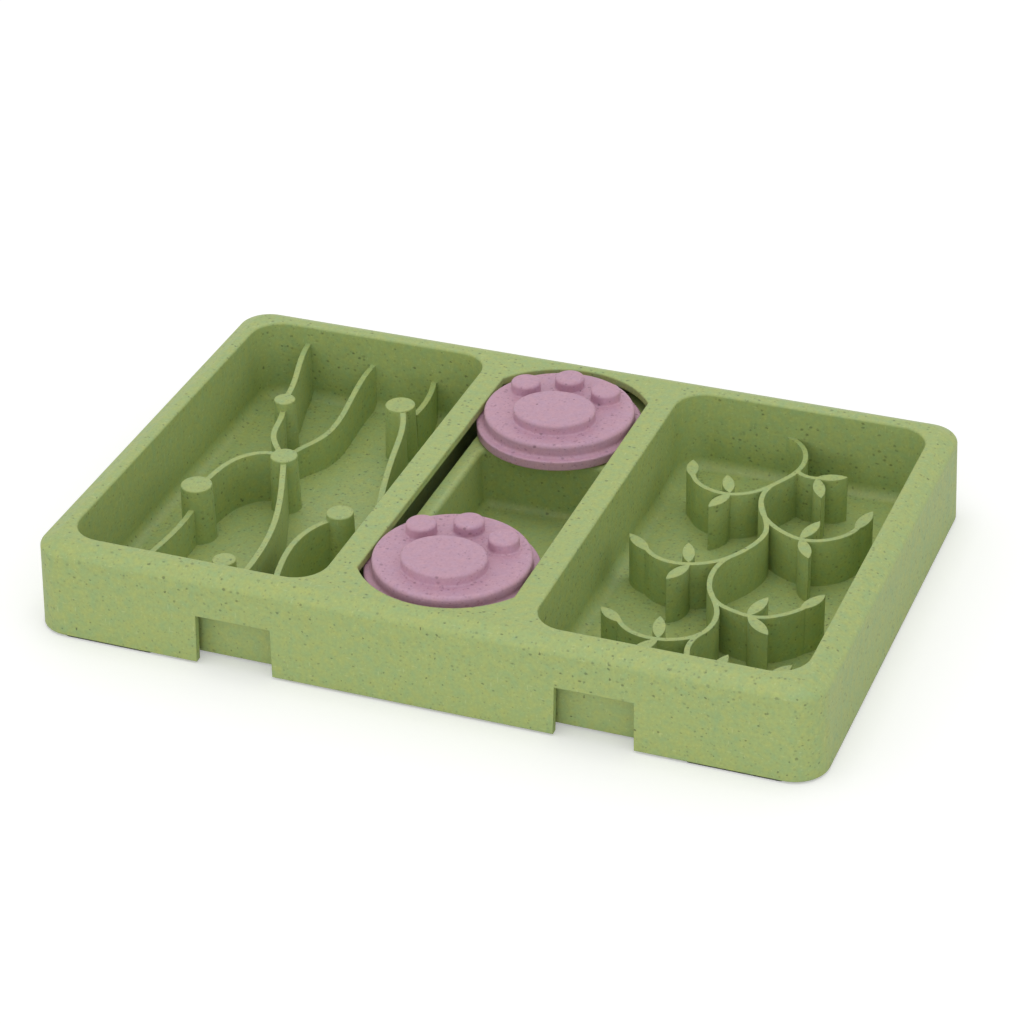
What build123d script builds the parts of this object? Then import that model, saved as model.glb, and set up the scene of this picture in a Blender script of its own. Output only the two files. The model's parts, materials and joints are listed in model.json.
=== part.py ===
from build123d import *
import os

# A dog's puzzle feeder: one moulded tray with a maze of posts and curved ribs in its left basin,
# leafy vines in its right basin, and a treat well between them. Two paw discs slide along a slot
# over the well. Millimetres, +Z up, X along the tray, Y towards its back edge. The origin is on
# the table, under the middle of the tray.

# ---- Tray shell ----
tray_length = 320.0  # along X, at the skirt's lower edge
tray_width = 212.0  # along Y, at the skirt's lower edge
skirt_height = 38.5  # from the skirt's lower edge up to the flat rim
skirt_draft = 2.0  # degrees that the skirt leans inwards
skirt_wall = 2.8
corner_radius = 14.0  # upright corners of the skirt
top_plate = 3.1  # thickness of the flat rim and of the bars beside the slot
bevel_run = 6.5  # sloping band round the rim, measured inwards
bevel_drop = 3.1  # and downwards
bevel_low_round = 2.2  # softening where the band meets the skirt
bevel_high_round = 3.5  # softening where it meets the flat rim
rim_round = 0.9  # edge round each basin
slot_round = 0.6  # edge round the slot

# ---- Basins ----
end_margin = 11.8  # from the skirt's lower edge to a basin, along X
side_margin = 12.8  # and along Y
bar_width = 11.1  # solid bar between the slot and each basin
basin_corner = 13.0
basin_draft = 1.2
basin_wall = 3.0
basin_gap = 0.5  # from the skirt's lower edge up to the basin's underside
basin_floor = 3.5
basin_floor_round = 5.0
basin_under_round = 0.8

# ---- Slot and paw discs ----
slot_width = 63.8
slot_margin = 11.0  # from the skirt's lower edge to the slot's end
slot_end_radius = 38.6
slot_corner = 1.4  # where the long sides meet the end arcs
cap_gap = 1.0  # between a paw cap and the bar beside it
cap_height = 5.7  # paw cap above its flange
cap_wall = 2.8
cap_round = 1.6
cove_round = 1.2
flange_overlap = 2.2  # how far the flange runs under each bar
flange_thick = 4.3
flange_round = 0.7
pad_side_margin = 13.9  # from the main pad's ends to the cap's edge, along X
pad_front_margin = 7.7  # from the main pad to the cap's edge, along Y
pad_toe_gap = 6.2  # between the main pad and the middle toe
pad_height = 4.8  # pad and toes above the cap
pad_round = 1.3
pad_cove = 0.8  # where pad and toes meet the cap
toe_radius = 6.1
middle_toe_margin = 6.1  # from the middle toe to the cap's edge
side_toe_margin = 4.4
side_toe_angle = 56.0
glide_above = 0.9  # gap between the flange and the bars
glide_below = 0.3  # gap between the flange and the rails
front_disc_gap = 3.5  # from the front cap to the slot's front end
back_disc_gap = 5.0  # from the back cap to the slot's back end
front_disc_turn = 0.8
back_disc_turn = 6.4

# ---- Treat well ----
well_offset = 2.2  # the well's middle stands this far from the slot's, towards the right basin
rail_overlap = 0.6  # half the deck is this much wider than half the slot
rail_width = 6.1
rail_thick = 2.8
rail_round = 2.2  # edge where the rails and the deck meet the bowl
well_length = 72.0  # bowl along Y, inside
well_corner = 5.2
well_wall = 2.8
well_floor = 3.0
well_floor_round = 4.0
well_draft = 2.0
deck_margin = 2.5  # the deck runs this far past the slot's ends
ear_gap = 0.9  # between a screw ear and the basin wall beside it
ear_length = 16.0
ear_edge = 4.3  # from a screw's centre to the ear's end
ear_corner = 1.4

# ---- Screws that hold the well ----
boss_radius = 4.0
screw_radius = 1.45
screw_length = 8.0
screw_head_radius = 3.0
screw_head_height = 1.9
screw_head_round = 0.6
drive_width = 0.8  # cross recess: each arm's width
drive_span = 3.2  # tip to tip
drive_depth = 1.0
thread_gap = 0.05
shank_gap = 0.15
tip_gap = 0.5  # spare depth past the screw's tip

# ---- Finger notches and rubber feet ----
notch_x = 73.0
notch_width = 31.8  # at the skirt's lower edge
notch_height = 20.5
notch_draft = 1.0
notch_depth = 7.8  # from the skirt's lower edge to the plate behind the notch
notch_plate_margin = 2.4  # the plate is this much larger than the notch
foot_from_end = 32.7  # from the skirt's end to a foot's centre
foot_length = 38.0
foot_width = 8.0
foot_thick = 2.0
foot_proud = 1.0  # rubber below the skirt's lower edge
foot_inset = 0.8  # skirt left outside the foot's pocket
foot_gap = 0.1
foot_corner = 2.0
ledge_height = 6.0
ledge_margin = 2.0

# ---- Mazes ----
post_height = 24.5
post_draft = 1.6
post_round = 0.5
rib_thick = 2.4
vine_height = 20.5
vine_thick = 2.1
leaf_width = 5.0
root_bite = 1.5  # how far posts, ribs and vines reach into the floor

# ---- Levels and places that follow from them ----
skirt_z = foot_proud
rim_z = skirt_z + skirt_height
plate_z = rim_z - top_plate
basin_z = skirt_z + basin_gap
floor_z = basin_z + basin_floor
root_z = floor_z - root_bite
flange_top_z = plate_z - glide_above
flange_z = flange_top_z - flange_thick
rail_z = flange_z - glide_below
rail_under_z = rail_z - rail_thick
cap_z = flange_top_z + cap_height
plate_middle_z = rim_z - top_plate / 2
basin_width = tray_width - 2 * side_margin
basin_length = (tray_length - slot_width) / 2 - bar_width - end_margin
basin_x = (slot_width + basin_length) / 2 + bar_width
slot_reach = tray_width / 2 - slot_margin
slot_end_centre = slot_reach - slot_end_radius
cap_radius = slot_width / 2 - cap_gap
flange_radius = slot_width / 2 + flange_overlap
middle_toe_reach = cap_radius - toe_radius - middle_toe_margin
side_toe_reach = cap_radius - toe_radius - side_toe_margin
pad_length = 2 * (cap_radius - pad_side_margin)
pad_front = cap_radius - pad_front_margin
pad_back = middle_toe_reach - toe_radius - pad_toe_gap
pad_width = pad_front + pad_back
pad_offset = (pad_front - pad_back) / 2
front_disc_y = cap_radius + front_disc_gap - slot_reach
back_disc_y = slot_reach - cap_radius - back_disc_gap
rail_half_width = slot_width / 2 + rail_overlap
well_width = 2 * (rail_half_width - rail_width)
deck_reach = slot_reach + deck_margin
ear_reach = basin_x - basin_length / 2 - basin_wall - ear_gap
screw_x = ear_reach - ear_edge
screw_y = deck_reach - ear_length / 2
foot_x = tray_length / 2 - foot_from_end
foot_y = (tray_width - foot_width) / 2 - foot_inset
overcut = 1.0  # cutters start this far outside what they cut
near = 0.01  # two levels or radii this close are the same

# Mazes are drawn from the middle of their basin, and their ends run half into its walls
back_y = (basin_width + basin_wall) / 2
front_y = -back_y
bar_x = (basin_length + basin_wall) / 2

# Post: centre and top radius
posts = [
    ((-28.5, -27.5), 6.4),
    ((-4.5, 5.1), 5.6),
    ((-23.3, 48.2), 4.5),
    ((24.5, 59.7), 6.3),
    ((34.8, -28.5), 5.5),
    ((6.0, -75.6), 4.7),
]

# Rib: points along its middle, then its height above the floor at each end
ribs = [
    ([(-31.9, back_y), (-29.3, 78.1), (-24.6, 59.7), (-23.3, 48.2)], 26.4, 24.3),
    ([(-22.4, 44.0), (-20.3, 35.0), (-18.0, 24.5), (-11.5, 14.4), (-4.5, 5.1)], 21.0, 21.0),
    ([(-28.5, -27.5), (-26.7, -12.0), (-21.9, 1.5), (-13.2, 8.0), (-4.5, 5.1)], 22.5, 22.5),
    ([(-28.5, -30.0), (-28.0, -54.2), (-30.4, -72.0), (-36.4, front_y)], 16.0, 16.0),
    ([(-4.5, 5.1), (5.0, -19.0), (12.2, -41.0), (15.9, -62.0), (15.6, front_y)], 23.5, 23.5),
    ([(-1.4, back_y), (-0.8, 60.0), (-3.2, 38.0), (-9.2, 28.0), (-5.9, 8.0)], 21.4, 11.0),
    ([(34.8, -28.5), (26.2, -43.2), (25.2, -58.0), (33.1, front_y)], 22.0, 22.0),
    ([(24.5, 59.7), (28.8, 52.2), (37.4, 20.4), (44.7, -9.1), (bar_x, -38.0)], 24.0, 24.0),
    ([(25.6, back_y), (29.0, 79.2), (29.0, 64.0)], 18.0, 18.0),
]

# Vine: points along the middle of each stem, which starts at a point of the stem before it
vines = [
    [(-11.6, back_y), (-0.1, 88.0), (4.4, 76.0), (3.7, 68.0), (-1.7, 55.9), (-8.4, 46.4),
     (-16.6, 42.0), (-30.4, 45.4), (-35.5, 52.0)],
    [(3.7, 68.0), (8.1, 65.4), (13.1, 65.4)],
    [(-1.7, 55.9), (-4.0, 47.5), (-3.2, 40.5), (1.6, 29.8), (10.1, 22.1), (21.6, 18.2),
     (33.9, 24.5), (38.6, 33.6)],
    [(-3.2, 40.5), (1.6, 29.8), (5.4, 18.0), (4.0, 9.5), (-1.0, -1.3), (-6.0, -7.6),
     (-22.5, -14.4), (-34.4, -8.8)],
    [(-1.0, -1.3), (-4.7, -9.5), (-5.2, -17.5), (-2.4, -28.7), (3.2, -36.3), (10.3, -39.6),
     (19.4, -41.0), (29.5, -35.6), (34.8, -29.1)],
    [(-2.4, -28.7), (0.3, -33.3), (4.6, -42.0), (5.8, -50.5), (3.5, -58.9), (-3.0, -64.9),
     (-17.6, -67.2), (-28.4, -60.0)],
    [(3.5, -58.9), (1.8, -65.0), (1.9, -69.5), (3.6, -75.5), (8.9, -82.5), (20.4, -86.5),
     (30.9, -84.0), (36.4, -78.5)],
    [(1.9, -69.5), (3.6, -75.5), (6.6, -84.0), (8.4, front_y)],
]

# Leaf: its stalk end and its tip
leaves = [
    ((-35.3, 50.0), (-39.0, 63.0)),
    ((-17.0, 42.8), (-22.2, 56.0)),
    ((-16.6, 42.6), (-21.8, 29.6)),
    ((11.9, 65.2), (24.4, 70.0)),
    ((12.7, 65.6), (18.8, 50.8)),
    ((38.0, 31.8), (41.0, 48.0)),
    ((19.6, 18.2), (23.3, 33.8)),
    ((19.6, 19.0), (26.8, 5.6)),
    ((-33.4, -9.8), (-45.0, 0.4)),
    ((-16.2, -12.6), (-20.8, 1.4)),
    ((-15.4, -13.6), (-20.8, -26.8)),
    ((34.0, -30.4), (40.2, -17.2)),
    ((16.4, -41.6), (20.2, -26.0)),
    ((16.4, -40.8), (27.8, -51.4)),
    ((-27.2, -61.2), (-38.0, -53.4)),
    ((-10.6, -67.0), (-14.6, -52.2)),
    ((-10.4, -67.4), (-17.2, -79.6)),
    ((35.6, -80.0), (42.0, -67.6)),
    ((15.2, -85.4), (17.6, -68.6)),
]

os.makedirs("parts", exist_ok=True)


def hanging_block(length, width, corner, top, bottom, draft, low_round):
    """A round-cornered block that hangs from the level top and narrows towards bottom."""
    with BuildPart() as block:
        with BuildSketch(Plane.XY.offset(top)):
            RectangleRounded(length, width, corner)
        extrude(amount=bottom - top, taper=draft)
        fillet(block.edges().group_by(Axis.Z)[0], low_round)
    return block.part


def slope_plane(points, start_z, end_z):
    """The plane that a sloping rib's top lies in, from its first point to its last."""
    (start_x, start_y), (end_x, end_y) = points[0], points[-1]
    start = Vector(start_x, start_y, start_z)
    along = Vector(end_x, end_y, end_z) - start
    across = Vector(-along.Y, along.X, 0)
    return Plane(origin=start, x_dir=along, z_dir=along.cross(across))


def curved_rib(points, start_height, end_height):
    """A rib of constant thickness along a smooth curve, its top between two heights."""
    with BuildPart() as rib:
        with BuildSketch(Plane.XY.offset(root_z)):
            with BuildLine():
                Spline(*points)
            trace(line_width=rib_thick)
        extrude(amount=root_bite + max(start_height, end_height))
        if start_height != end_height:
            slope = slope_plane(points, floor_z + start_height, floor_z + end_height)
            split(bisect_by=slope, keep=Keep.BOTTOM)
    return rib.part


def round_post(centre, top_radius):
    """A post that widens a little towards the floor."""
    with BuildPart() as post:
        with BuildSketch(Plane.XY.offset(floor_z + post_height)):
            with Locations(centre):
                Circle(top_radius)
        extrude(amount=-(post_height + root_bite), taper=-post_draft)
        fillet(post.edges().group_by(Axis.Z)[-1], post_round)
    return post.part


def leaf_outline(stalk, tip):
    """Two arcs from the stalk end to the tip."""
    middle = (Vector(*stalk) + Vector(*tip)) / 2
    side = (Vector(*tip) - Vector(*stalk)).normalized().rotate(Axis.Z, 90) * leaf_width / 2
    with BuildSketch() as leaf:
        with BuildLine():
            ThreePointArc(stalk, middle + side, tip)
            ThreePointArc(tip, middle - side, stalk)
        make_face()
    return leaf.sketch


# ---- Mazes, each drawn about the middle of its basin ----
maze_space = hanging_block(
    basin_length + basin_wall, basin_width + basin_wall, basin_corner + basin_wall / 2,
    rim_z, root_z, basin_draft, root_bite,
)

with BuildPart() as post_maze:
    for centre, top_radius in posts:
        add(round_post(centre, top_radius))
    for points, start_height, end_height in ribs:
        add(curved_rib(points, start_height, end_height))
    add(maze_space, mode=Mode.INTERSECT)

with BuildPart() as vine_maze:
    with BuildSketch(Plane.XY.offset(root_z)):
        for points in vines:
            with BuildLine():
                Spline(*points)
            trace(line_width=vine_thick)
        for stalk, tip in leaves:
            add(leaf_outline(stalk, tip))
    extrude(amount=root_bite + vine_height)
    add(maze_space, mode=Mode.INTERSECT)

# ---- Tray shell ----
hollow_run = bevel_run - skirt_wall / 2
with BuildPart() as under_space:
    with BuildSketch(Plane.XY.offset(skirt_z - overcut)):
        RectangleRounded(
            tray_length - 2 * skirt_wall, tray_width - 2 * skirt_wall, corner_radius - skirt_wall
        )
    extrude(amount=plate_z - skirt_z + overcut, taper=skirt_draft)
    hollow_top = under_space.faces().sort_by(Axis.Z)[-1]
    hollow_drop = hollow_run * bevel_drop / bevel_run
    chamfer(hollow_top.edges(), hollow_run, hollow_drop, reference=hollow_top)

with BuildPart() as tray_shell:
    with BuildSketch(Plane.XY.offset(skirt_z)):
        RectangleRounded(tray_length, tray_width, corner_radius)
    extrude(amount=skirt_height, taper=skirt_draft)
    flat_top = tray_shell.faces().sort_by(Axis.Z)[-1]
    chamfer(flat_top.edges(), bevel_run, bevel_drop, reference=flat_top)
    fillet(tray_shell.edges().group_by(Axis.Z)[-1], bevel_high_round)
    shoulder_z = rim_z - bevel_drop
    shoulder = [edge for edge in tray_shell.edges() if abs(edge.center().Z - shoulder_z) < near]
    fillet(shoulder, bevel_low_round)
    add(under_space.part, mode=Mode.SUBTRACT)

    # Basins
    with Locations((-basin_x, 0, 0), (basin_x, 0, 0)):
        add(hanging_block(
            basin_length + 2 * basin_wall, basin_width + 2 * basin_wall, basin_corner + basin_wall,
            plate_middle_z, basin_z, basin_draft, basin_under_round,
        ))
        add(hanging_block(
            basin_length, basin_width, basin_corner,
            rim_z, floor_z, basin_draft, basin_floor_round,
        ), mode=Mode.SUBTRACT)

    # Slot that the paw caps stand in
    with BuildSketch(Plane.XY.offset(plate_z - overcut)) as slot_outline:
        SlotCenterToCenter(2 * slot_end_centre, 2 * slot_end_radius, rotation=90)
        Rectangle(slot_width, tray_width, mode=Mode.INTERSECT)
        fillet(slot_outline.vertices(), slot_corner)
    extrude(amount=top_plate + 2 * overcut, mode=Mode.SUBTRACT)

    # Soft edge round every opening in the flat rim
    flat_rim = tray_shell.faces().filter_by(GeomType.PLANE).sort_by(Axis.Z)[-1]
    openings = sorted(flat_rim.inner_wires(), key=lambda wire: abs(wire.bounding_box().center().X))
    fillet(openings[0].edges(), slot_round)
    fillet([edge for wire in openings[1:] for edge in wire.edges()], rim_round)

    # Finger notches through the front and back of the skirt, each with a plate behind it
    notch_back_y = tray_width / 2 - notch_depth
    notch_outer_y = tray_width / 2 + overcut
    with BuildSketch(Plane.XY.offset(skirt_z)):
        with GridLocations(2 * notch_x, notch_back_y + notch_outer_y, 2, 2):
            Rectangle(notch_width, notch_outer_y - notch_back_y)
    extrude(amount=notch_height, taper=notch_draft, mode=Mode.SUBTRACT)
    wall_middle_y = (basin_width + basin_wall) / 2
    with BuildSketch(Plane.XY.offset(skirt_z)):
        with GridLocations(2 * notch_x, notch_back_y + wall_middle_y, 2, 2):
            Rectangle(notch_width + 2 * notch_plate_margin, notch_back_y - wall_middle_y)
    extrude(amount=notch_height + notch_plate_margin)

    # Corner ledges with a shallow pocket for each rubber foot
    skirt_middle_y = (tray_width - skirt_wall) / 2
    with BuildSketch(Plane.XY.offset(skirt_z)):
        with GridLocations(2 * foot_x, skirt_middle_y + wall_middle_y, 2, 2):
            Rectangle(foot_length + 2 * ledge_margin, skirt_middle_y - wall_middle_y)
    extrude(amount=ledge_height)
    with BuildSketch(Plane.XY.offset(skirt_z)):
        with GridLocations(2 * foot_x, 2 * foot_y, 2, 2):
            RectangleRounded(foot_length + 2 * foot_gap, foot_width + 2 * foot_gap, foot_corner)
    extrude(amount=foot_thick - foot_proud, mode=Mode.SUBTRACT)

    # Screw bosses for the treat well
    with BuildSketch(Plane.XY.offset(rail_z)):
        with GridLocations(2 * screw_x, 2 * screw_y, 2, 2):
            Circle(boss_radius)
    extrude(amount=plate_middle_z - rail_z)
    with BuildSketch(Plane.XY.offset(rail_z)):
        with GridLocations(2 * screw_x, 2 * screw_y, 2, 2):
            Circle(screw_radius + thread_gap)
    extrude(amount=screw_length - rail_thick + tip_gap, mode=Mode.SUBTRACT)

    # Mazes
    with Locations((-basin_x, 0, 0)):
        add(post_maze.part)
    with Locations((basin_x, 0, 0)):
        add(vine_maze.part)
tray_shell.part.label = "tray_shell"
export_step(tray_shell.part, "parts/tray_shell.step")

# ---- Treat well, screwed up under the slot ----
with BuildPart() as treat_well:
    with BuildSketch(Plane.XY.offset(rail_z)):
        with Locations((well_offset, 0)):
            Rectangle(2 * rail_half_width, 2 * deck_reach)
        with GridLocations(0, 2 * deck_reach - ear_length, 1, 2):
            Rectangle(2 * ear_reach, ear_length)
    extrude(amount=-rail_thick)
    fillet(treat_well.edges().filter_by(Axis.Z), ear_corner)
    with Locations((well_offset, 0, 0)):
        add(hanging_block(
            well_width + 2 * well_wall, well_length + 2 * well_wall, well_corner + well_wall,
            rail_z - rail_thick / 2, basin_z, well_draft, basin_under_round,
        ))
        add(hanging_block(
            well_width, well_length, well_corner,
            rail_z, basin_z + well_floor, well_draft, well_floor_round,
        ), mode=Mode.SUBTRACT)
    deck_top = treat_well.faces().filter_by(GeomType.PLANE).sort_by(Axis.Z)[-1]
    fillet(deck_top.inner_wires()[0].edges(), rail_round)
    with BuildSketch(Plane.XY.offset(rail_z)):
        with GridLocations(2 * screw_x, 2 * screw_y, 2, 2):
            Circle(screw_radius + shank_gap)
    extrude(amount=-rail_thick, mode=Mode.SUBTRACT)
treat_well.part.label = "treat_well"
export_step(treat_well.part, "parts/treat_well.step")

# ---- Screws that hold the well: one node, four separate screws ----
with BuildPart() as well_screws:
    with BuildSketch(Plane.XY.offset(rail_under_z)):
        with GridLocations(2 * screw_x, 2 * screw_y, 2, 2):
            Circle(screw_head_radius)
    extrude(amount=-screw_head_height)
    fillet(well_screws.edges().group_by(Axis.Z)[0], screw_head_round)
    with BuildSketch(Plane.XY.offset(rail_under_z)):
        with GridLocations(2 * screw_x, 2 * screw_y, 2, 2):
            Circle(screw_radius)
    extrude(amount=screw_length)
    with BuildSketch(Plane.XY.offset(rail_under_z - screw_head_height)):
        with GridLocations(2 * screw_x, 2 * screw_y, 2, 2):
            Rectangle(drive_span, drive_width)
            Rectangle(drive_width, drive_span)
    extrude(amount=drive_depth, mode=Mode.SUBTRACT)
well_screws.part.label = "well_screws"
export_step(well_screws.part, "parts/well_screws.step")


# ---- Paw discs ----
def paw_outline(inset):
    """Main pad and three toes, drawn smaller by the inset."""
    with BuildSketch() as paw:
        with Locations((0, -pad_offset)):
            Ellipse(pad_length / 2 - inset, pad_width / 2 - inset)
        with Locations((0, middle_toe_reach)):
            Circle(toe_radius - inset)
        first_angle = 90 - side_toe_angle
        with PolarLocations(side_toe_reach, 2, first_angle, 2 * side_toe_angle, endpoint=True):
            Circle(toe_radius - inset)
    return paw.sketch


with BuildPart() as paw_disc:
    with BuildSketch(Plane.XY.offset(flange_z)):
        Circle(flange_radius)
    extrude(amount=flange_thick)
    fillet(paw_disc.edges(), flange_round)
    with BuildSketch(Plane.XY.offset(flange_top_z)):
        Circle(cap_radius)
    extrude(amount=cap_height)
    fillet(paw_disc.edges().group_by(Axis.Z)[-1], cap_round)
    cove = [edge for edge in paw_disc.edges().filter_by(GeomType.CIRCLE)
            if abs(edge.radius - cap_radius) < near and abs(edge.center().Z - flange_top_z) < near]
    fillet(cove, cove_round)
    with BuildSketch(Plane.XY.offset(cap_z)):
        add(paw_outline(0))
    extrude(amount=pad_height)
    fillet(paw_disc.edges().group_by(Axis.Z)[-1], pad_round)
    cap_face = [face for face in paw_disc.faces().filter_by(GeomType.PLANE)
                if abs(face.center().Z - cap_z) < near]
    fillet([edge for wire in cap_face[0].inner_wires() for edge in wire.edges()], pad_cove)

    # Hollow underside of even wall
    with BuildSketch(Plane.XY.offset(flange_z)):
        Circle(cap_radius - cap_wall)
    extrude(amount=cap_z - cap_wall - flange_z, mode=Mode.SUBTRACT)
    with BuildSketch(Plane.XY.offset(cap_z - cap_wall)):
        add(paw_outline(cap_wall))
    extrude(amount=pad_height, mode=Mode.SUBTRACT)

for name, disc_y, turn in (
    ("paw_disc_front", front_disc_y, front_disc_turn),
    ("paw_disc_back", back_disc_y, back_disc_turn),
):
    placed_disc = paw_disc.part.moved(Location((0, disc_y, 0), (0, 0, turn)))
    placed_disc.label = name
    export_step(placed_disc, f"parts/{name}.step")

# ---- Rubber feet ----
with BuildPart() as foot_strip:
    with BuildSketch():
        RectangleRounded(foot_length, foot_width, foot_corner - foot_gap)
    extrude(amount=foot_thick)

for end, side_y in (("front", -foot_y), ("back", foot_y)):
    for hand, side_x in (("left", -foot_x), ("right", foot_x)):
        placed_foot = foot_strip.part.moved(Location((side_x, side_y, 0)))
        placed_foot.label = f"foot_{end}_{hand}"
        export_step(placed_foot, f"parts/foot_{end}_{hand}.step")
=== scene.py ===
# %% [markdown]
# # A dog's puzzle feeder
# The feeder is moulded from a plastic filled with ground straw. Its tray holds two mazes for
# kibble, and two paw discs slide over a treat well. Every moulded piece arrives as a finished
# solid, so this lesson is about what makes plain solids look moulded: the fibre-filled plastic,
# a soft studio light, and a camera set as on a product table.

# %% Load the moulded pieces
import json
import math

import bpy
from mathutils import Matrix, Vector

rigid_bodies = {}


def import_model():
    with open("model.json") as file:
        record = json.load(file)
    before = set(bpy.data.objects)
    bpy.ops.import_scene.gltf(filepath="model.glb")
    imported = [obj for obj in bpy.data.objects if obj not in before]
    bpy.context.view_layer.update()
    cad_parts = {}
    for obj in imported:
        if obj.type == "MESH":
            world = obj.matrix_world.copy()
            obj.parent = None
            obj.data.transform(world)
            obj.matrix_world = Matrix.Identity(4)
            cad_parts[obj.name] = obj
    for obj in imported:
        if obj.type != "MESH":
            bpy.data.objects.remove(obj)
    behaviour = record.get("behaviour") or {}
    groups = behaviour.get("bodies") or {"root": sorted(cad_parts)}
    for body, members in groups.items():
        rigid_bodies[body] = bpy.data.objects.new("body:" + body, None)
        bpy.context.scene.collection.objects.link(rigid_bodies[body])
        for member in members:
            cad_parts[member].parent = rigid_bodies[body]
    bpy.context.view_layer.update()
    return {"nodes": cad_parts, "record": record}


for leftover in list(bpy.data.objects):
    bpy.data.objects.remove(leftover)
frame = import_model()
mm = 0.001
print("pieces:", ", ".join(sorted(frame["nodes"])))

# %% [markdown]
# ## Helpers for shader nodes
# A material here is a small network of nodes. Writing each node's settings, inputs and links on
# separate lines makes a network hard to read, so `add` does all three: an input that is given
# another node's output is linked, and any other value is typed in. Colours are chosen as they
# look on a screen, from 0 to 255, and `screen_colour` turns them into the linear values that a
# renderer works with.

# %% Node helpers


def add(tree, kind, inputs=None, **settings):
    """Adds a shader node, applies its settings, and fills or links its inputs."""
    node = tree.nodes.new("ShaderNode" + kind)
    for name, value in settings.items():
        setattr(node, name, value)
    for name, value in (inputs or {}).items():
        if isinstance(value, bpy.types.NodeSocket):
            tree.links.new(value, node.inputs[name])
        else:
            node.inputs[name].default_value = value
    return node


def calculate(tree, operation, *values):
    """A Math node on one, two or three values, as its output."""
    node = add(tree, "Math", dict(enumerate(values)), operation=operation)
    return node.outputs[0]


def new_group(name, inputs, outputs):
    """An empty node group with named inputs and outputs, and the two nodes they appear on."""
    tree = bpy.data.node_groups.new(name, "ShaderNodeTree")
    for socket_name, kind, start in inputs:
        socket = tree.interface.new_socket(socket_name, in_out="INPUT", socket_type=kind)
        if start is not None:
            socket.default_value = start
    for socket_name, kind in outputs:
        tree.interface.new_socket(socket_name, in_out="OUTPUT", socket_type=kind)
    entry = tree.nodes.new("NodeGroupInput")
    leave = tree.nodes.new("NodeGroupOutput")
    return tree, entry.outputs, leave.inputs


def place_group(tree, group, **inputs):
    """Places a node group in another network, with its inputs filled or linked."""
    node = tree.nodes.new("ShaderNodeGroup")
    node.node_tree = group
    for name, value in inputs.items():
        socket = node.inputs[name.replace("_", " ").capitalize()]
        if isinstance(value, bpy.types.NodeSocket):
            tree.links.new(value, socket)
        else:
            socket.default_value = value
    return node.outputs


def screen_colour(red, green, blue):
    """A colour given as it looks on a screen, as the linear values of a shader."""
    def linear(value):
        share = value / 255
        return share / 12.92 if share <= 0.04045 else ((share + 0.055) / 1.055) ** 2.4
    return (linear(red), linear(green), linear(blue), 1.0)


print("a mid grey of 128 is", round(screen_colour(128, 128, 128)[0], 3), "in linear light")

# %% [markdown]
# ## Bits of straw in the plastic
# Ground straw shows as small dark specks and short fibres, scattered through the whole wall. A
# flat picture of specks would stretch round corners. A Voronoi texture in three dimensions
# scatters points in space instead, so the surface cuts through them wherever it runs, as it does
# in the real material. Each point keeps a random colour of its own, and the group uses it to
# leave some points out and to vary the size of the rest. Stretching space turns specks into
# fibres.

# %% Group: scattered straw bits
warp_fineness = 2.5  # lumps of the warp in one spacing
warp_reach = 0.35  # the warp's whole swing, in spacings
least_bit = 0.45  # added to a bit's random size, so that none vanishes
solid_core = 0.5  # share of a bit's radius that is fully opaque
straw_bits, bits_in, bits_out = new_group(
    "straw_bits",
    [
        ("Place", "NodeSocketVector", None),
        ("Spacing", "NodeSocketFloat", 0.003),
        ("Stretch", "NodeSocketVector", (1.0, 1.0, 1.0)),
        ("Share", "NodeSocketFloat", 0.5),
        ("Size", "NodeSocketFloat", 0.2),
    ],
    [("Mask", "NodeSocketFloat"), ("Chance", "NodeSocketFloat")],
)
bits_space = add(straw_bits, "VectorMath", {
    0: bits_in["Place"], 1: bits_in["Stretch"],
}, operation="MULTIPLY")
bits_scale = calculate(straw_bits, "DIVIDE", 1.0, bits_in["Spacing"])
bits_warp = add(straw_bits, "TexNoise", {
    "Vector": bits_space.outputs[0], "Scale": calculate(
        straw_bits, "MULTIPLY", bits_scale, warp_fineness),
    "Detail": 1.0,
})
bits_shift = add(straw_bits, "VectorMath", {
    0: bits_warp.outputs["Color"], 1: (0.5, 0.5, 0.5),
}, operation="SUBTRACT")
bits_warped = add(straw_bits, "VectorMath", {
    0: bits_shift.outputs[0],
    1: calculate(straw_bits, "MULTIPLY", bits_in["Spacing"], warp_reach),
    2: bits_space.outputs[0],
}, operation="MULTIPLY_ADD")
bits_points = add(straw_bits, "TexVoronoi", {
    "Vector": bits_warped.outputs[0], "Scale": bits_scale,
})
bits_random = add(straw_bits, "SeparateColor", {"Color": bits_points.outputs["Color"]})
bits_kept = calculate(straw_bits, "LESS_THAN", bits_random.outputs["Red"], bits_in["Share"])
bits_size = calculate(
    straw_bits, "MULTIPLY", bits_in["Size"],
    calculate(straw_bits, "ADD", least_bit, bits_random.outputs["Green"]),
)
bits_round = add(straw_bits, "MapRange", {
    "Value": bits_points.outputs["Distance"],
    "From Min": bits_size,
    "From Max": calculate(straw_bits, "MULTIPLY", bits_size, solid_core),
})
straw_bits.links.new(
    calculate(straw_bits, "MULTIPLY", bits_round.outputs[0], bits_kept), bits_out["Mask"])
straw_bits.links.new(bits_random.outputs["Blue"], bits_out["Chance"])
print("group", straw_bits.name, "has", len(straw_bits.nodes), "nodes")

# %% [markdown]
# ## The plastic itself
# Both colours of the feeder are the same filled plastic, so one group makes the whole surface
# and each material places it with its own colours. It lays, from below: a base colour that
# drifts to a cooler and to a warmer tone from place to place, as badly mixed filler does, a
# soft mottle in the flecks' colour, fine pale fibres, many faint flecks, and the dark specks
# that catch the eye. The masks of the flecks and specks lower the surface a hair, because a cut
# straw end never lies quite flush, and a fine noise gives the matt grain of the mould.

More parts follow.
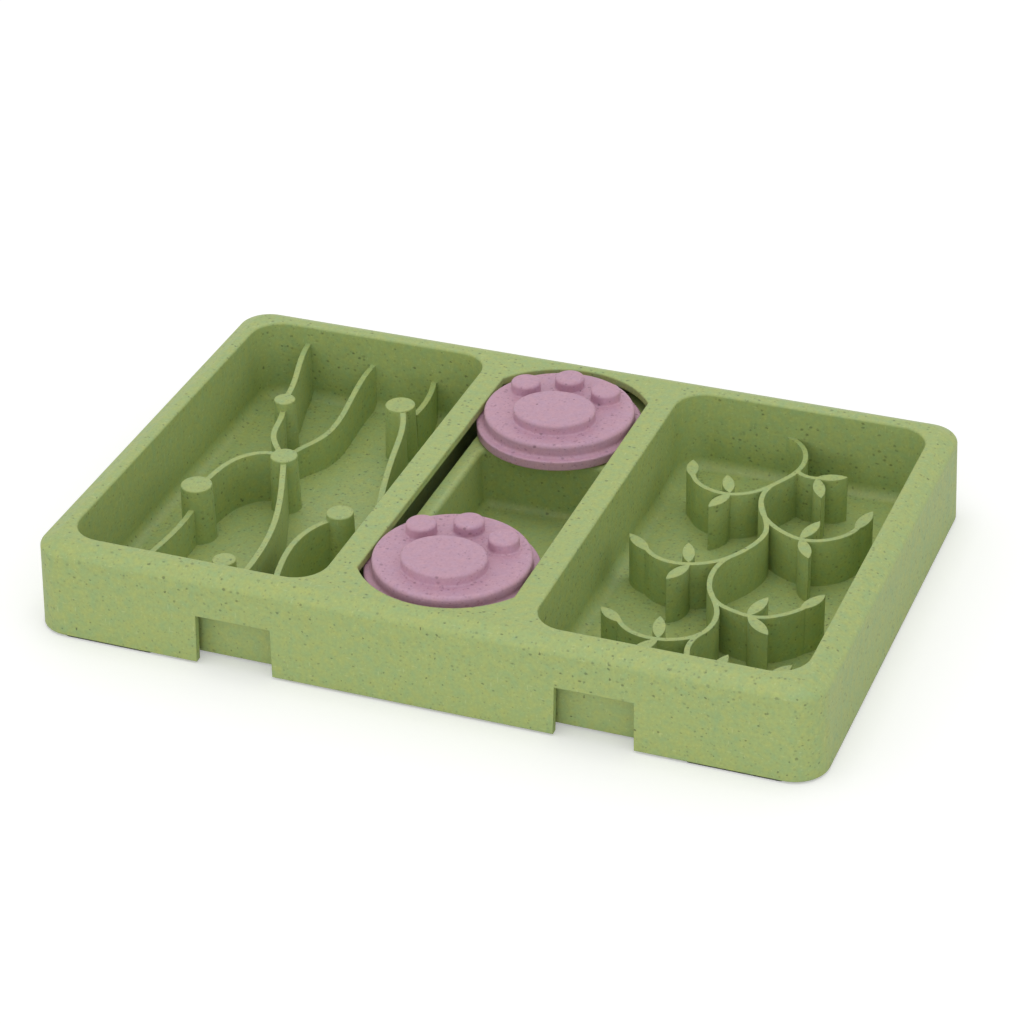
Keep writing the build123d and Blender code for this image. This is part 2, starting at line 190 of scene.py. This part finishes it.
# %% Group: straw-filled plastic
straw_plastic, plastic_in, plastic_out = new_group(
    "straw_plastic",
    [
        ("Base colour", "NodeSocketColor", (0.5, 0.5, 0.5, 1.0)),
        ("Cool colour", "NodeSocketColor", (0.5, 0.5, 0.6, 1.0)),
        ("Warm colour", "NodeSocketColor", (0.6, 0.6, 0.4, 1.0)),
        ("Fibre colour", "NodeSocketColor", (0.6, 0.6, 0.6, 1.0)),
        ("Fleck colour", "NodeSocketColor", (0.3, 0.3, 0.2, 1.0)),
        ("Speck colour", "NodeSocketColor", (0.1, 0.1, 0.1, 1.0)),
        ("Roughness", "NodeSocketFloat", 0.6),
    ],
    [
        ("Colour", "NodeSocketColor"),
        ("Roughness", "NodeSocketFloat"),
        ("Height", "NodeSocketFloat"),
    ],
)
place = add(straw_plastic, "TexCoord").outputs["Object"]


def blend_colour(tree, share, below, above):
    """One colour laid over another by a share or a mask.

    A Mix node has sockets for every kind of value. Those of its colour kind are reached by
    their places, because its names repeat.
    """
    mix = tree.nodes.new("ShaderNodeMix")
    mix.data_type = "RGBA"
    for socket, value in zip((mix.inputs[0], mix.inputs[6], mix.inputs[7]), (share, below, above)):
        if isinstance(value, bpy.types.NodeSocket):
            tree.links.new(value, socket)
        else:
            socket.default_value = value
    return mix.outputs[2]


def soft_noise(tree, size, detail=2.0, away=0.0):
    """A noise whose lumps are about the given size, from 0 to 1. Away moves its pattern."""
    moved = add(tree, "VectorMath", {0: place, 1: (away, away, away)}, operation="ADD")
    noise = add(tree, "TexNoise", {
        "Vector": moved.outputs[0], "Scale": 1 / size, "Detail": detail,
    })
    return noise.outputs["Fac"]


def around_middle(tree, value, reach):
    """Stretches a noise about its middle, so that it fills the range from 0 to 1."""
    spread = add(tree, "MapRange", {
        "Value": value, "From Min": 0.5 - reach, "From Max": 0.5 + reach,
    })
    return spread.outputs[0]


wide_lump, near_lump, warm_lump, mottle_lump = 26 * mm, 2.6 * mm, 3.6 * mm, 1.2 * mm
near_weight, wide_weight = 0.6, 0.4
warm_strength = 0.6
mottle_strength = 0.30

wide_drift = around_middle(straw_plastic, soft_noise(straw_plastic, wide_lump), 0.20)
near_drift = around_middle(straw_plastic, soft_noise(straw_plastic, near_lump), 0.22)
cool_share = calculate(straw_plastic, "MULTIPLY_ADD", near_drift, near_weight,
                       calculate(straw_plastic, "MULTIPLY", wide_drift, wide_weight))
colour = blend_colour(
    straw_plastic, cool_share, plastic_in["Base colour"], plastic_in["Cool colour"])
warm_share = around_middle(straw_plastic, soft_noise(straw_plastic, warm_lump, away=0.4), 0.20)
warmed = calculate(straw_plastic, "MULTIPLY", warm_share, warm_strength)
colour = blend_colour(straw_plastic, warmed, colour, plastic_in["Warm colour"])
mottle = around_middle(straw_plastic, soft_noise(straw_plastic, mottle_lump, away=0.9), 0.30)
mottled = calculate(straw_plastic, "MULTIPLY", mottle, mottle_strength)
colour = blend_colour(straw_plastic, mottled, colour, plastic_in["Fleck colour"])

# %% [markdown]
# Fibres lie in every direction. Three copies of the bits, each stretched along another axis,
# are enough for the eye to read them as random.

# %% Lay the fibres
fibre_directions = ((0.25, 1.0, 1.0), (1.0, 0.25, 1.0), (1.0, 1.0, 0.25))
fibre_spacing = 1.3 * mm
fibre_strength = 0.4
fibre_mask = None
for stretch in fibre_directions:
    layer = place_group(straw_plastic, straw_bits, place=place, spacing=fibre_spacing,
                        stretch=stretch, share=0.30, size=0.20)
    fibre_mask = layer["Mask"] if fibre_mask is None else calculate(
        straw_plastic, "MAXIMUM", fibre_mask, layer["Mask"])
fibres = calculate(straw_plastic, "MULTIPLY", fibre_mask, fibre_strength)
colour = blend_colour(straw_plastic, fibres, colour, plastic_in["Fibre colour"])

# %% [markdown]
# Flecks and specks are one effect at three grades: small and faint ones everywhere, darker ones
# between them, and now and then a large one. Each bit's own chance sets how strongly it shows,
# so no two look alike.

# %% Dark bits at three grades
# tone, spacing, stretch, share kept, size, strength, evenness
dark_bits = (
    ("Fleck colour", 1.3 * mm, (1.0, 0.7, 1.0), 0.60, 0.31, 0.60, 1.0),
    ("Speck colour", 1.9 * mm, (0.8, 1.0, 1.0), 0.55, 0.28, 0.58, 1.2),
    ("Speck colour", 4.6 * mm, (1.0, 0.8, 0.9), 0.60, 0.11, 0.70, 0.7),
)
dent_mask = None
for tone, spacing, stretch, share, size, strength, evenness in dark_bits:
    layer = place_group(straw_plastic, straw_bits, place=place, spacing=spacing,
                        stretch=stretch, share=share, size=size)
    shown = calculate(straw_plastic, "MULTIPLY", layer["Mask"], calculate(
        straw_plastic, "MULTIPLY", strength,
        calculate(straw_plastic, "POWER", layer["Chance"], evenness)))
    colour = blend_colour(straw_plastic, shown, colour, plastic_in[tone])
    dent_mask = shown if dent_mask is None else calculate(
        straw_plastic, "MAXIMUM", dent_mask, shown)

grain_size = 0.5 * mm
drift_height, dent_depth = 0.35, 0.8
roughness_swing = 0.25
grain = soft_noise(straw_plastic, grain_size, detail=3.0)
height = calculate(
    straw_plastic, "SUBTRACT",
    calculate(straw_plastic, "MULTIPLY_ADD", near_drift, drift_height, grain),
    calculate(straw_plastic, "MULTIPLY", dent_mask, dent_depth),
)
uneven = calculate(straw_plastic, "SUBTRACT", grain, 0.5)
roughness = calculate(
    straw_plastic, "ADD", plastic_in["Roughness"],
    calculate(straw_plastic, "MULTIPLY", uneven, roughness_swing),
)
straw_plastic.links.new(colour, plastic_out["Colour"])
straw_plastic.links.new(roughness, plastic_out["Roughness"])
straw_plastic.links.new(height, plastic_out["Height"])
print("group", straw_plastic.name, "has", len(straw_plastic.nodes), "nodes")

# %% [markdown]
# ## Materials
# The group only says how the surface varies. The material around it holds the shader: a
# Principled BSDF with the group's colour and roughness, and a Bump node for its height. The
# tray's green and the discs' dusty pink differ in nothing but their colours.
#
# A mould never makes a truly sharp edge. The solids have their large rounds, and a Bevel node
# adds the small ones: it softens the light at an edge over half a millimetre and leaves the
# shape alone.

# %% Green and pink plastic


def plastic_material(name, base, cool, warm, fibre, fleck, speck, rough):
    """A straw-filled plastic in the given colours."""
    material = bpy.data.materials.new(name)
    material.use_nodes = True
    tree = material.node_tree
    shader = tree.nodes["Principled BSDF"]
    surface = place_group(
        tree, straw_plastic, base_colour=screen_colour(*base), cool_colour=screen_colour(*cool),
        warm_colour=screen_colour(*warm), fibre_colour=screen_colour(*fibre),
        fleck_colour=screen_colour(*fleck), speck_colour=screen_colour(*speck), roughness=rough,
    )
    soft_edge = add(tree, "Bevel", {"Radius": edge_round}, samples=4)
    relief = add(tree, "Bump", {
        "Height": surface["Height"], "Strength": 0.10, "Distance": 0.15 * mm,
        "Normal": soft_edge.outputs["Normal"],
    })
    tree.links.new(surface["Colour"], shader.inputs["Base Color"])
    tree.links.new(surface["Roughness"], shader.inputs["Roughness"])
    tree.links.new(relief.outputs["Normal"], shader.inputs["Normal"])
    shader.inputs["Specular IOR Level"].default_value = 0.5
    return material


edge_round = 0.5 * mm
tray_green = plastic_material(
    "tray_green", base=(165, 185, 112), cool=(152, 181, 122), warm=(184, 190, 102),
    fibre=(190, 203, 142), fleck=(116, 126, 82), speck=(52, 60, 34), rough=0.5)
paw_pink = plastic_material(
    "paw_pink", base=(196, 155, 173), cool=(189, 154, 178), warm=(203, 157, 170),
    fibre=(208, 168, 184), fleck=(150, 104, 124), speck=(80, 46, 60), rough=0.5)
print("plastics:", tray_green.name, "and", paw_pink.name)

# %% [markdown]
# ## Rubber feet and screws
# The feet are strips of dark rubber let into the skirt: nearly black, with a soft sheen and a
# fine grain. The screws that hold the well are zinc plated, which is metal with a dull gloss
# that clouds a little from place to place.

# %% Rubber and zinc


def simple_material(name, low, high, size, rough, metal):
    """A surface that varies between two colours with a fine noise."""
    material = bpy.data.materials.new(name)
    material.use_nodes = True
    tree = material.node_tree
    shader = tree.nodes["Principled BSDF"]
    spot = add(tree, "TexCoord").outputs["Object"]
    noise = add(tree, "TexNoise", {"Vector": spot, "Scale": 1 / size, "Detail": 3.0})
    tint = blend_colour(
        tree, noise.outputs["Fac"], screen_colour(*low), screen_colour(*high))
    relief = add(tree, "Bump", {
        "Height": noise.outputs["Fac"], "Strength": 0.15, "Distance": 0.1 * mm,
    })
    tree.links.new(tint, shader.inputs["Base Color"])
    tree.links.new(relief.outputs["Normal"], shader.inputs["Normal"])
    shader.inputs["Roughness"].default_value = rough
    shader.inputs["Metallic"].default_value = metal
    return material


black_rubber = simple_material("black_rubber", (34, 36, 34), (52, 54, 50), 0.6 * mm, 0.7, 0.0)
bright_zinc = simple_material("bright_zinc", (176, 178, 182), (206, 206, 204), 1.2 * mm, 0.35, 1.0)
print("small parts:", black_rubber.name, "and", bright_zinc.name)

# %% Dress every piece
finish_of_slot = {
    "tray_plastic": tray_green,
    "paw_plastic": paw_pink,
    "foot_rubber": black_rubber,
    "screw_steel": bright_zinc,
}
for part in frame["record"]["subparts"]:
    piece = frame["nodes"][part["node"]]
    piece.data.materials.clear()
    piece.data.materials.append(finish_of_slot[part["material_slot"]])
    print(part["node"], "wears", piece.data.materials[0].name)

# %% [markdown]
# ## Table and light
# A product on white needs light from everywhere, or its recesses go black. A pale table and a
# pale sky do most of the work. A wide softbox overhead and a smaller one low in front give the
# shapes their direction. The table shines a little to the camera alone, so that it reads as
# white where the light reaches it, yet keeps the tray's shadow. The camera and reflections see
# a white sky, a little brighter than the one that lights the tray.

# %% Table
table_size = 8.0
table_drop = 0.01 * mm  # keeps the feet and the table from sharing a plane
table_white = 0.82
table_shine = 0.30
bpy.ops.mesh.primitive_plane_add(size=table_size, location=(0, 0, -table_drop))
table = bpy.context.object
table.name = "table"
table_paint = bpy.data.materials.new("table_paint")
table_paint.use_nodes = True
paint_tree = table_paint.node_tree
paint = paint_tree.nodes["Principled BSDF"]
paint.inputs["Base Color"].default_value = (table_white, table_white, table_white, 1.0)
paint.inputs["Roughness"].default_value = 0.9
paint.inputs["Specular IOR Level"].default_value = 0.1
rays = add(paint_tree, "LightPath")
shine = calculate(paint_tree, "MULTIPLY", rays.outputs["Is Camera Ray"], table_shine)
paint.inputs["Emission Color"].default_value = (1.0, 1.0, 1.0, 1.0)
paint_tree.links.new(shine, paint.inputs["Emission Strength"])
table.data.materials.append(table_paint)

# %% Sky and softboxes
sky = bpy.data.worlds.new("studio_sky")
sky.use_nodes = True
sky_tree = sky.node_tree
sky_light = sky_tree.nodes["Background"]
sky_rays = add(sky_tree, "LightPath")
seen = calculate(sky_tree, "MAXIMUM", sky_rays.outputs["Is Camera Ray"],
                 sky_rays.outputs["Is Glossy Ray"])
sky_light.inputs["Color"].default_value = (1.0, 1.0, 1.0, 1.0)
sky_level = 0.78
sky_tree.links.new(
    calculate(sky_tree, "MULTIPLY_ADD", seen, 1.0 - sky_level, sky_level),
    sky_light.inputs["Strength"])
bpy.context.scene.world = sky


def softbox(name, place_at, width, watts):
    """A square white area lamp aimed at the origin, under the middle of the tray."""
    lamp = bpy.data.lights.new(name, "AREA")
    lamp.size = width
    lamp.energy = watts
    holder = bpy.data.objects.new(name, lamp)
    holder.location = place_at
    aim = Vector((0.0, 0.0, 0.0))
    towards = aim - Vector(place_at)
    holder.rotation_euler = towards.to_track_quat("-Z", "Y").to_euler()
    bpy.context.scene.collection.objects.link(holder)


softbox("overhead_softbox", place_at=(0.0, 0.0, 1.8), width=1.0, watts=5.0)
softbox("front_softbox", place_at=(0.25, -1.75, 0.25), width=0.5, watts=4.0)
print("lamps:", [lamp.name for lamp in bpy.data.lights])

# %% [markdown]
# ## Camera
# The camera stands to the right of the front edge and looks down from about thirty degrees. A
# long lens from over a metre away keeps the tray's long edges nearly parallel. A turn, a
# height, a distance and a slight roll say all of that, and the rotation follows from them.

# %% Camera
camera_turn = math.radians(21.214)
camera_height = math.radians(31.324)
camera_roll = math.radians(-1.051)
camera_distance = 1.35294
camera_aim = Vector((-0.00276, 0.01050, 0.01873))
sensor_width = 36.0
lens_length = 118.25

back_axis = Vector((
    math.sin(camera_turn) * math.cos(camera_height),
    -math.cos(camera_turn) * math.cos(camera_height),
    math.sin(camera_height),
))
level_right = Vector((0, 0, 1)).cross(back_axis).normalized()
level_up = back_axis.cross(level_right)
right_axis = math.cos(camera_roll) * level_right + math.sin(camera_roll) * level_up
up_axis = math.cos(camera_roll) * level_up - math.sin(camera_roll) * level_right
camera_data = bpy.data.cameras.new("product_camera")
camera_data.sensor_width = sensor_width
camera_data.lens = lens_length
camera = bpy.data.objects.new("product_camera", camera_data)
turned = Matrix((right_axis, up_axis, back_axis)).transposed().to_4x4()
camera.matrix_world = Matrix.Translation(camera_aim + camera_distance * back_axis) @ turned
bpy.context.scene.collection.objects.link(camera)
bpy.context.scene.camera = camera
bpy.context.scene.view_settings.view_transform = "Standard"
print("camera stands at", [round(value, 3) for value in camera.location])

# %% Bring the scene up to date
bpy.context.view_layer.update()
